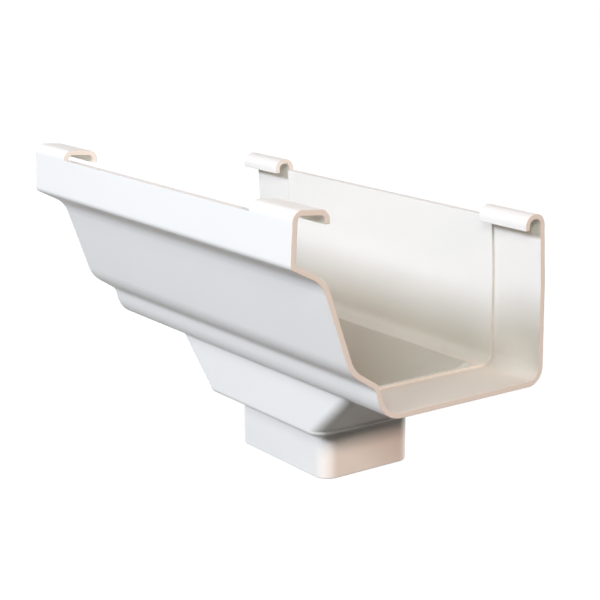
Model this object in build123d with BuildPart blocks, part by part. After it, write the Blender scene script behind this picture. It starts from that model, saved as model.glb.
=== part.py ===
# Gutter outlet: a short ogee gutter section, open at both ends, with a hopper and a spigot.
# X runs along the gutter, +Y points to the wall behind it, +Z is up.
# The origin is the centre of the spigot's mouth. Millimetres and degrees.
import os
from math import atan, cos, degrees, radians, sin, sqrt

from build123d import *

# Overall sizes
length = 212.0
wall = 2.3
floor_height = 52.7          # underside of the gutter floor above the spigot's mouth

# End sockets, which take the gutter, and the step that stops it
socket_depth = 29.0
stop_step = 1.2

# Gutter section, by its outer corners, from the back wall forwards
floor_back_margin = 9.65     # floor left behind the hopper, to the back wall's outer face
floor_front_margin = 11.5    # and in front of it, to the bead's corner
back_bend_height = 45.0      # where the back wall starts to lean in, above the floor's underside
back_bend_lean = 0.7
back_top_lean = 1.9
back_height = 76.3           # crown of the back hook above the floor's underside
back_hook_width = 10.6
back_hook_drop = 6.9
bead_height = 14.3
bead_lean = 3.9
cove_run = 12.9
cove_rise = 8.4
ogee_run = 14.0
ogee_rise = 38.9
soffit_run = 15.0
soffit_rise = 7.8
lip_height = 22.7
lip_lean = 1.1
shelf_run = 17.2
shelf_drop = 1.5
front_hook_drop = 5.6

# Rounding of those corners, on the outer side
back_corner_radius = 8.1
back_bend_radius = 120.0
back_hook_radius = 5.1
bead_bottom_radius = 12.4
bead_top_radius = 5.0
cove_radius = 14.0
shoulder_radius = 12.0
lip_bottom_radius = 2.6
lip_top_radius = 4.4
shelf_end_radius = 4.4

# Walls between the hooks end lower than the hooks
front_rim_drop = 4.9         # below the lip's top corner
back_rim_drop = 5.9          # below the crown of the back hook

# Hopper under the floor
hopper_front_ledge = 12.05   # from the spigot's faces out to the hopper's foot
hopper_back_ledge = 4.0
hopper_side_ledge = 10.8
hopper_shoulder = 4.5        # from the step in to the sloping end, at the floor's underside
hopper_base_height = 25.7    # above the spigot's mouth
collar_height = 2.5
hopper_corner_radius = 7.0
hopper_base_radius = 2.4
hopper_root_radius = 1.8     # under the floor
mouth_ledge = 0.4            # floor left between the step and the opening
mouth_start_angle = 4.0      # how far from level the opening's rounded ends start

# Spigot
spigot_width = 70.2
spigot_depth = 51.9
spigot_corner_radius = 7.3
spigot_root_radius = 1.4
spigot_mouth_radius = 0.6

tolerance = 0.01             # for finding an edge by its place

# Derived places
middle_half = length / 2 - socket_depth
middle_wall = wall + stop_step
floor_top = floor_height + middle_wall
lip_top = floor_height + bead_height + cove_rise + ogee_rise + soffit_rise + lip_height
front_rim = lip_top - front_rim_drop
back_rim = floor_height + back_height - back_rim_drop

# Hopper's faces, from the spigot's axis
hopper_front = spigot_depth / 2 + hopper_front_ledge
hopper_back = spigot_depth / 2 + hopper_back_ledge
hopper_base_half = spigot_width / 2 + hopper_side_ledge
hopper_top_half = middle_half - hopper_shoulder
back_face = hopper_back + floor_back_margin
floor_width = back_face + hopper_front + floor_front_margin

# Sloping ends of the hopper, outside and inside
slope = (hopper_top_half - hopper_base_half) / (floor_height - hopper_base_height - collar_height)
slope_angle = 90 - degrees(atan(slope))          # from level
inner_base_half = hopper_base_half - wall
inner_base_height = hopper_base_height + wall
inner_edge_half = hopper_top_half + slope * middle_wall - wall * sqrt(1 + slope**2)
inner_collar_top = floor_top - (inner_edge_half - inner_base_half) / slope

# Rounded ends of the opening, from just inside the step down into the slope
mouth_half = middle_half - mouth_ledge
mouth_turn = slope_angle - mouth_start_angle
mouth_radius = (mouth_half - inner_edge_half) * sin(radians(slope_angle)) / (1 - cos(radians(mouth_turn)))


def mouth_point(angle):
    """Point on the rounded end of the opening, where its surface is so far from level."""
    start = radians(mouth_start_angle)
    here = radians(angle)
    return (
        mouth_half - mouth_radius * (sin(here) - sin(start)),
        floor_top - mouth_radius * (cos(start) - cos(here)),
    )


mouth_foot_half, mouth_foot_height = mouth_point(slope_angle)


def outer_corners():
    """Sharp corners of the outer face, from the back hook's tip to the front hook's tip."""
    steps = [
        (0, back_hook_drop),
        (back_hook_width, 0),
        (back_top_lean, -(back_height - back_bend_height)),
        (back_bend_lean, -back_bend_height),
        (-floor_width, 0),
        (-bead_lean, bead_height),
        (-cove_run, cove_rise),
        (-ogee_run, ogee_rise),
        (-soffit_run, soffit_rise),
        (lip_lean, lip_height),
        (shelf_run, -shelf_drop),
        (0, -front_hook_drop),
    ]
    y = back_face - back_bend_lean - back_top_lean - back_hook_width
    z = floor_height + back_height - back_hook_drop
    corners = [(y, z)]
    for run, rise in steps:
        y += run
        z += rise
        corners.append((y, z))
    return corners


outer_radii = [
    back_hook_radius,
    back_hook_radius,
    back_bend_radius,
    back_corner_radius,
    bead_bottom_radius,
    bead_top_radius,
    cove_radius,
    shoulder_radius,
    lip_bottom_radius,
    lip_top_radius,
    shelf_end_radius,
]


def hopper_section(half_length, inset):
    """Rounded outline of the hopper, or of its hollow where there is an inset."""
    depth = hopper_front + hopper_back
    with Locations((0, (hopper_back - hopper_front) / 2)):
        RectangleRounded(2 * half_length, depth - 2 * inset, hopper_corner_radius - inset)


with BuildPart() as hopper:
    # Collar round the hopper's foot
    with BuildSketch(Plane.XY.offset(hopper_base_height)):
        hopper_section(hopper_base_half, 0)
    extrude(amount=collar_height)
    fillet(hopper.faces().sort_by(Axis.Z)[0].edges(), hopper_base_radius)
    # Sloping ends, up to the gutter floor
    with BuildSketch(Plane.XY.offset(hopper_base_height + collar_height)):
        hopper_section(hopper_base_half, 0)
    with BuildSketch(Plane.XY.offset(floor_height)):
        hopper_section(hopper_top_half, 0)
    loft(ruled=True)

with BuildPart() as hopper_hollow:
    with BuildSketch(Plane.XY.offset(inner_base_height)):
        hopper_section(inner_base_half, wall)
    extrude(amount=inner_collar_top - inner_base_height)
    with BuildSketch(Plane.XY.offset(inner_collar_top)):
        hopper_section(inner_base_half, wall)
    with BuildSketch(Plane.XY.offset(mouth_foot_height)):
        hopper_section(mouth_foot_half, wall)
    loft(ruled=True)
    # Ends of the opening, rounded into the floor
    with BuildLine(Plane.XZ):
        ThreePointArc(
            mouth_point(slope_angle),
            mouth_point(slope_angle - mouth_turn / 2),
            mouth_point(mouth_start_angle),
        )
    with BuildSketch(Plane.XY.offset(mouth_foot_height)):
        hopper_section(mouth_foot_half, wall)
    sweep(normal=(0, 0, 1))
    mirror(about=Plane.YZ)

with BuildPart() as gutter_outlet:
    # Gutter wall with its hooks, at each socket
    with BuildSketch(Plane.YZ.offset(middle_half), Plane.YZ.offset(-length / 2)):
        with BuildLine():
            FilletPolyline(*outer_corners(), radius=outer_radii)
            offset(amount=wall, side=Side.RIGHT)
        make_face()
    extrude(amount=socket_depth)

    # Thicker wall between the sockets: its ends are the steps that stop the gutter
    with BuildSketch(Plane.YZ):
        with BuildLine():
            FilletPolyline(*outer_corners()[2:-2], radius=outer_radii[2:-2])
            offset(amount=middle_wall, side=Side.RIGHT)
        make_face()
        with Locations((-length, front_rim)):
            Rectangle(length, length, align=(Align.MIN, Align.MIN), mode=Mode.SUBTRACT)
        with Locations((0, back_rim)):
            Rectangle(length, length, align=(Align.MIN, Align.MIN), mode=Mode.SUBTRACT)
    extrude(amount=middle_half, both=True)

    # Hopper, rounded into the floor's underside
    add(hopper.part)
    under_floor = gutter_outlet.edges().filter_by_position(
        Axis.Z, floor_height - tolerance, floor_height + tolerance
    )
    round_hopper = under_floor.filter_by_position(
        Axis.X, -hopper_top_half - tolerance, hopper_top_half + tolerance
    )
    fillet(
        round_hopper.filter_by_position(Axis.Y, -hopper_front - tolerance, hopper_back + tolerance),
        hopper_root_radius,
    )
    add(hopper_hollow.part, mode=Mode.SUBTRACT)

    # Spigot
    with BuildSketch(Plane.XY):
        RectangleRounded(spigot_width, spigot_depth, spigot_corner_radius)
    extrude(amount=hopper_base_height)
    with BuildSketch(Plane.XY):
        RectangleRounded(spigot_width - 2 * wall, spigot_depth - 2 * wall, spigot_corner_radius - wall)
    extrude(amount=inner_base_height, mode=Mode.SUBTRACT)
    fillet(gutter_outlet.faces().sort_by(Axis.Z)[0].outer_wire().edges(), spigot_mouth_radius)
    # Where the spigot leaves the hopper's underside
    root = gutter_outlet.edges().filter_by_position(
        Axis.Z, hopper_base_height - tolerance, hopper_base_height + tolerance
    )
    root = root.filter_by_position(Axis.X, -spigot_width / 2 - tolerance, spigot_width / 2 + tolerance)
    root = root.filter_by_position(Axis.Y, -spigot_depth / 2 - tolerance, spigot_depth / 2 + tolerance)
    fillet(root, spigot_root_radius)

os.makedirs("parts", exist_ok=True)
gutter_outlet.part.label = "gutter_outlet"
export_step(gutter_outlet.part, "parts/gutter_outlet.step")
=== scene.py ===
"""A gutter outlet of white moulded plastic on a plain pale floor, in soft studio light.

Metres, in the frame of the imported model: +X along the gutter, +Y to the wall, +Z up,
with the floor at the spigot's mouth.
"""
from math import cos, radians, sin

import bpy
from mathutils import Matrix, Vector

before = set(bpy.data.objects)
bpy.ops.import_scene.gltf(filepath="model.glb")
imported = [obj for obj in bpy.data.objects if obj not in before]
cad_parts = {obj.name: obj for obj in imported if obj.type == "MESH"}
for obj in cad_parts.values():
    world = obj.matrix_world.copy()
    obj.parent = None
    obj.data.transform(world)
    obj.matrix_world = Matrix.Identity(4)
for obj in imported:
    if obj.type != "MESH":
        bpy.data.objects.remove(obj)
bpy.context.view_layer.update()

# The photograph's camera: where it stands, which way it looks and its lens
CAMERA_PLACE = Vector((0.55756, -0.41818, 0.25135))
CAMERA_TURN = radians(54.07)
CAMERA_TILT = radians(14.23)
CAMERA_LENS = 91.15
SENSOR_WIDTH = 36.0
CLIP_START = 0.01
CLIP_END = 50.0

# What the lamps aim at: the middle of the gutter
TARGET = Vector((0.0, -0.02, 0.085))

# Each softbox's azimuth from -Y towards +X and height, in degrees, then its distance, size, power and colour.
# The three keys are cool and the two side lamps are warm, as in the photograph.
SOFTBOXES = {
    "key_front": (0, 27, 1.6, 0.25, 17.0, (0.76, 0.82, 1.0)),
    "key_near": (15, 26, 1.6, 0.35, 5.6, (0.95, 0.95, 1.0)),
    "key_side": (45, 30, 1.6, 0.35, 6.8, (0.93, 1.0, 0.96)),
    "front_low": (0, 3, 1.6, 0.2, 1.6, (1.0, 1.0, 1.0)),
    "side_right": (84, 25.5, 2.2, 0.2, 13.2, (1.0, 0.71, 0.61)),
    "side_back": (100, 25.5, 2.2, 0.2, 12.5, (1.0, 0.71, 0.61)),
    "left": (-90, 8, 1.6, 0.5, 10.5, (1.0, 1.0, 1.0)),
    "back": (180, 9, 1.6, 0.5, 17.0, (0.97, 0.98, 1.0)),
}

# Floor: its size, how far it lies under the spigot's mouth, and its colour as the camera sees it
# and in the light that it returns
FLOOR_SIDES = 96
FLOOR_RADIUS = 12.0
FLOOR_DROP = 0.0002
FLOOR_COLOR = (0.30, 0.30, 0.30, 1)
FLOOR_RETURN = (0.035, 0.027, 0.022, 1)

# How white the floor looks to the camera, and where it fades into the white backdrop
FLOOR_LIFT = 0.86
FLOOR_FADE_START = 0.5
FLOOR_FADE_END = 1.5

WHITE = (1, 1, 1, 1)
BLACK = (0, 0, 0, 1)

# Plastic: the two shades of its flow marks, its least and greatest roughness, and its refraction
PLASTIC_SHADE = (0.87, 0.855, 0.79, 1)
PLASTIC_LIGHT = (0.91, 0.895, 0.83, 1)
ROUGHNESS_LOW = 0.40
ROUGHNESS_HIGH = 0.48
PLASTIC_IOR = 1.5

# Scale and detail of its noises
FLOW_NOISE = (14.0, 3.0)
GLOSS_NOISE = (60.0, 4.0)
WAVE_NOISE = (90.0, 2.0)

# Painted crease shade, which darkens the colour in creases and corners: how far a crease reaches, how open
# it is where the shade is darkest and where it ends, and how dark it gets
CREASE_SHADE_COLOR = (0.30, 0.29, 0.28, 1)
CREASE_REACH = 0.006
CREASE_SAMPLES = 8
CREASE_SHADE_DARKEST = 0.35
CREASE_SHADE_END = 0.85
CREASE_SHADE_MOST = 0.45

# Softened edges and the surface's slight waviness
EDGE_RADIUS = 0.0005
EDGE_SAMPLES = 6
WAVE_STRENGTH = 0.08
WAVE_HEIGHT = 0.0002


def add_camera():
    """Camera at the photograph's viewing angle."""
    data = bpy.data.cameras.new("camera")
    data.lens = CAMERA_LENS
    data.sensor_width = SENSOR_WIDTH
    data.clip_start = CLIP_START
    data.clip_end = CLIP_END
    camera = bpy.data.objects.new("camera", data)
    camera.location = CAMERA_PLACE
    camera.rotation_euler = (radians(90) - CAMERA_TILT, 0, CAMERA_TURN)
    bpy.context.collection.objects.link(camera)
    bpy.context.scene.camera = camera


def add_softbox(name, azimuth, height, distance, size, power, color):
    """Square area light that faces the target."""
    data = bpy.data.lights.new(name, "AREA")
    data.shape = "SQUARE"
    data.size = size
    data.energy = power
    data.color = color
    lamp = bpy.data.objects.new(name, data)
    turn, rise = radians(azimuth), radians(height)
    away = Vector((sin(turn) * cos(rise), -cos(turn) * cos(rise), sin(rise)))
    lamp.location = TARGET + away * distance
    lamp.rotation_euler = away.to_track_quat("Z", "Y").to_euler()
    bpy.context.collection.objects.link(lamp)


def new_material(name):
    """Empty node material and its node tree."""
    material = bpy.data.materials.new(name)
    material.use_nodes = True
    material.node_tree.nodes.clear()
    return material, material.node_tree


def backdrop_ray(tree):
    """Node output that is 1 for a camera ray, and for one that a glossy or clear surface sends on."""
    path = tree.nodes.new("ShaderNodeLightPath")
    seen = tree.nodes.new("ShaderNodeMath")
    seen.operation = "MAXIMUM"
    tree.links.new(path.outputs["Is Camera Ray"], seen.inputs[0])
    tree.links.new(path.outputs["Is Glossy Ray"], seen.inputs[1])
    either = tree.nodes.new("ShaderNodeMath")
    either.operation = "MAXIMUM"
    tree.links.new(seen.outputs[0], either.inputs[0])
    tree.links.new(path.outputs["Is Transmission Ray"], either.inputs[1])
    return either.outputs[0]


def add_world():
    """White where it is seen or mirrored. It sheds no light, which comes from the softboxes alone."""
    world = bpy.data.worlds.new("studio")
    bpy.context.scene.world = world
    world.use_nodes = True
    tree = world.node_tree
    tree.nodes.clear()
    dark = tree.nodes.new("ShaderNodeBackground")
    dark.inputs["Color"].default_value = BLACK
    white = tree.nodes.new("ShaderNodeBackground")
    white.inputs["Color"].default_value = WHITE
    mix = tree.nodes.new("ShaderNodeMixShader")
    out = tree.nodes.new("ShaderNodeOutputWorld")
    tree.links.new(backdrop_ray(tree), mix.inputs[0])
    tree.links.new(dark.outputs[0], mix.inputs[1])
    tree.links.new(white.outputs[0], mix.inputs[2])
    tree.links.new(mix.outputs[0], out.inputs["Surface"])


def floor_material():
    """Pale floor: white where it is seen but for the object's shadow, dim in the light that it returns."""
    material, tree = new_material("pale_floor")
    dim = tree.nodes.new("ShaderNodeBsdfDiffuse")
    dim.inputs["Color"].default_value = FLOOR_RETURN
    pale = tree.nodes.new("ShaderNodeBsdfDiffuse")
    pale.inputs["Color"].default_value = FLOOR_COLOR
    lift = tree.nodes.new("ShaderNodeEmission")
    lift.inputs["Color"].default_value = WHITE
    place = tree.nodes.new("ShaderNodeTexCoord")
    reach = tree.nodes.new("ShaderNodeVectorMath")
    reach.operation = "LENGTH"
    tree.links.new(place.outputs["Object"], reach.inputs[0])
    fade = tree.nodes.new("ShaderNodeMapRange")
    fade.inputs["From Min"].default_value = FLOOR_FADE_START
    fade.inputs["From Max"].default_value = FLOOR_FADE_END
    fade.inputs["To Min"].default_value = FLOOR_LIFT
    fade.inputs["To Max"].default_value = 1.0
    tree.links.new(reach.outputs["Value"], fade.inputs["Value"])
    tree.links.new(fade.outputs["Result"], lift.inputs["Strength"])
    white = tree.nodes.new("ShaderNodeAddShader")
    mix = tree.nodes.new("ShaderNodeMixShader")
    out = tree.nodes.new("ShaderNodeOutputMaterial")
    tree.links.new(pale.outputs[0], white.inputs[0])
    tree.links.new(lift.outputs[0], white.inputs[1])
    tree.links.new(backdrop_ray(tree), mix.inputs[0])
    tree.links.new(dim.outputs[0], mix.inputs[1])
    tree.links.new(white.outputs[0], mix.inputs[2])
    tree.links.new(mix.outputs[0], out.inputs["Surface"])
    return material


def add_floor():
    """Round floor under the spigot's mouth."""
    bpy.ops.mesh.primitive_circle_add(
        vertices=FLOOR_SIDES,
        radius=FLOOR_RADIUS,
        fill_type="NGON",
        location=(0, 0, -FLOOR_DROP),
    )
    floor = bpy.context.object
    floor.name = "floor"
    floor.data.materials.append(floor_material())


def noise_over(tree, place, scale_and_detail):
    """Node output of a noise that is fixed to the object."""
    noise = tree.nodes.new("ShaderNodeTexNoise")
    noise.inputs["Scale"].default_value, noise.inputs["Detail"].default_value = scale_and_detail
    tree.links.new(place.outputs["Object"], noise.inputs["Vector"])
    return noise.outputs["Fac"]


def plastic_material():
    """White moulded plastic, with flow marks in colour and gloss, slight waviness and painted shade darkening
    its creases.
    """
    material, tree = new_material("white_gloss_plastic")
    nodes, links = tree.nodes, tree.links
    shader = nodes.new("ShaderNodeBsdfPrincipled")
    shader.inputs["IOR"].default_value = PLASTIC_IOR
    out = nodes.new("ShaderNodeOutputMaterial")
    links.new(shader.outputs[0], out.inputs["Surface"])
    place = nodes.new("ShaderNodeTexCoord")

    tint = nodes.new("ShaderNodeMix")
    tint.data_type = "RGBA"
    tint.inputs["A"].default_value = PLASTIC_SHADE
    tint.inputs["B"].default_value = PLASTIC_LIGHT
    links.new(noise_over(tree, place, FLOW_NOISE), tint.inputs["Factor"])

    # Painted shade: the colour is darkened towards a dark grey where the surface is enclosed, in creases and
    # corners
    crease = nodes.new("ShaderNodeAmbientOcclusion")
    crease.samples = CREASE_SAMPLES
    crease.only_local = True
    crease.inputs["Distance"].default_value = CREASE_REACH
    crease_shade_amount = nodes.new("ShaderNodeMapRange")
    crease_shade_amount.inputs["From Min"].default_value = CREASE_SHADE_DARKEST
    crease_shade_amount.inputs["From Max"].default_value = CREASE_SHADE_END
    crease_shade_amount.inputs["To Min"].default_value = CREASE_SHADE_MOST
    crease_shade_amount.inputs["To Max"].default_value = 0.0
    links.new(crease.outputs["AO"], crease_shade_amount.inputs["Value"])
    crease_shaded = nodes.new("ShaderNodeMix")
    crease_shaded.data_type = "RGBA"
    crease_shaded.inputs["B"].default_value = CREASE_SHADE_COLOR
    links.new(crease_shade_amount.outputs["Result"], crease_shaded.inputs["Factor"])
    links.new(tint.outputs["Result"], crease_shaded.inputs["A"])
    links.new(crease_shaded.outputs["Result"], shader.inputs["Base Color"])

    gloss = nodes.new("ShaderNodeMapRange")
    gloss.inputs["To Min"].default_value = ROUGHNESS_LOW
    gloss.inputs["To Max"].default_value = ROUGHNESS_HIGH
    links.new(noise_over(tree, place, GLOSS_NOISE), gloss.inputs["Value"])
    links.new(gloss.outputs["Result"], shader.inputs["Roughness"])

    edge = nodes.new("ShaderNodeBevel")
    edge.samples = EDGE_SAMPLES
    edge.inputs["Radius"].default_value = EDGE_RADIUS
    wave = nodes.new("ShaderNodeBump")
    wave.inputs["Strength"].default_value = WAVE_STRENGTH
    wave.inputs["Distance"].default_value = WAVE_HEIGHT
    links.new(noise_over(tree, place, WAVE_NOISE), wave.inputs["Height"])
    links.new(edge.outputs["Normal"], wave.inputs["Normal"])
    links.new(wave.outputs["Normal"], shader.inputs["Normal"])
    return material


add_camera()
add_world()
add_floor()
for name, softbox in SOFTBOXES.items():
    add_softbox(name, *softbox)

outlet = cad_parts["gutter_outlet"]
plastic = plastic_material()
for slot in outlet.material_slots:
    slot.material = plastic

scene = bpy.context.scene
scene.view_settings.view_transform = "Standard"
